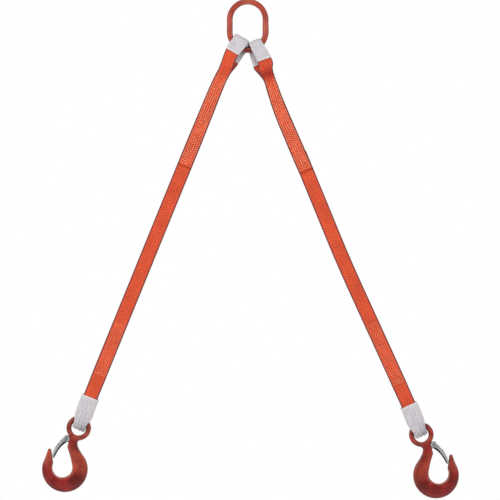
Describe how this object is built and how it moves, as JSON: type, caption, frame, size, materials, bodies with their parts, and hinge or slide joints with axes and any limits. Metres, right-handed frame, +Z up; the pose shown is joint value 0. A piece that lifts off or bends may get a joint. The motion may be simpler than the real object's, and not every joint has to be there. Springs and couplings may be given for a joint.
{
  "type": "flat web sling",
  "caption": "Two-leg flat webbing sling hanging from an oblong master link, each leg ending in an eye hook with a spring latch.",
  "frame": {"origin": "the seat inside the crown of the master link, where the crane hook bears", "axes": "+Z up along the hanging sling, +X to the right across the spread of the legs, +Y to the back, through the flat of the webbing"},
  "size_m": [0.9995, 0.0324, 1.1987],
  "materials": {
    "link_paint": "satin red paint on forged steel",
    "hook_paint": "satin dark red paint on forged steel",
    "webbing": "woven polyester webbing, orange",
    "wear_sleeve": "woven tubular sleeve, pale grey",
    "thread": "twisted polyester thread",
    "zinc": "zinc-plated sheet steel",
    "pin_steel": "bright drawn steel"
  },
  "bodies": {
    "link": {"master_link": "link_paint"},
    "left_eye": {"left_top_eye_web": "webbing", "left_top_wear_sleeve": "wear_sleeve"},
    "left_leg": {"left_upper_strap": "webbing", "left_upper_splice_tail": "webbing", "left_upper_stitching": "thread"},
    "left_leg_end": {"left_lower_strap": "webbing", "left_lower_stitching": "thread", "left_bottom_wear_sleeve": "wear_sleeve"},
    "left_hook": {"left_hook": "hook_paint", "left_latch_pin": "pin_steel", "left_latch_spring": "pin_steel"},
    "left_latch": {"left_latch": "zinc"},
    "right_eye": {"right_top_eye_web": "webbing", "right_top_wear_sleeve": "wear_sleeve"},
    "right_leg": {"right_upper_strap": "webbing", "right_upper_splice_tail": "webbing", "right_upper_stitching": "thread"},
    "right_leg_end": {"right_lower_strap": "webbing", "right_lower_stitching": "thread", "right_bottom_wear_sleeve": "wear_sleeve"},
    "right_hook": {"right_hook": "hook_paint", "right_latch_pin": "pin_steel", "right_latch_spring": "pin_steel"},
    "right_latch": {"right_latch": "zinc"}
  },
  "joints": [
    {"name": "left_leg_spread", "type": "hinge", "parent": "link", "child": "left_eye", "pos_m": [-0.025, 0, -0.10099], "axis": [0, 1, 0], "range_deg": [-12, 23]},
    {"name": "left_leg_swing", "type": "hinge", "parent": "left_eye", "child": "left_leg", "pos_m": [-0.06074, 0, -0.16441], "axis": [0.9259, 0, -0.3778], "range_deg": [-50, 50]},
    {"name": "left_leg_fold", "type": "hinge", "parent": "left_leg", "child": "left_leg_end", "pos_m": [-0.24391, 0.0017, -0.61327], "axis": [-0.927, 0, 0.375], "range_deg": [-80, 80]},
    {"name": "left_hook_swing", "type": "hinge", "parent": "left_leg_end", "child": "left_hook", "pos_m": [-0.39669, 0, -0.99428], "axis": [0.9285, 0, -0.3714], "range_deg": [-45, 45]},
    {"name": "left_latch_open", "type": "hinge", "parent": "left_hook", "child": "left_latch", "pos_m": [-0.43493, 0, -1.04135], "axis": [0, -1, 0], "range_deg": [0, 38], "stiffness_Nm_per_rad": 0.15, "springref_deg": -28.65, "deforming": ["left_latch_spring"]},
    {"name": "right_leg_spread", "type": "hinge", "parent": "link", "child": "right_eye", "pos_m": [0.023, 0, -0.10233], "axis": [0, -1, 0], "range_deg": [-12, 23]},
    {"name": "right_leg_swing", "type": "hinge", "parent": "right_eye", "child": "right_leg", "pos_m": [0.05017, 0, -0.17885], "axis": [-0.9252, 0, -0.3795], "range_deg": [-50, 50]},
    {"name": "right_leg_fold", "type": "hinge", "parent": "right_leg", "child": "right_leg_end", "pos_m": [0.22837, 0.0017, -0.61333], "axis": [0.9188, 0, 0.3947], "range_deg": [-80, 80]},
    {"name": "right_hook_swing", "type": "hinge", "parent": "right_leg_end", "child": "right_hook", "pos_m": [0.4068, 0, -1.01038], "axis": [-0.9198, 0, -0.3923], "range_deg": [-45, 45]},
    {"name": "right_latch_open", "type": "hinge", "parent": "right_hook", "child": "right_latch", "pos_m": [0.4465, 0, -1.05639], "axis": [0, 1, 0], "range_deg": [0, 38], "stiffness_Nm_per_rad": 0.15, "springref_deg": -28.65, "deforming": ["right_latch_spring"]}
  ]
}
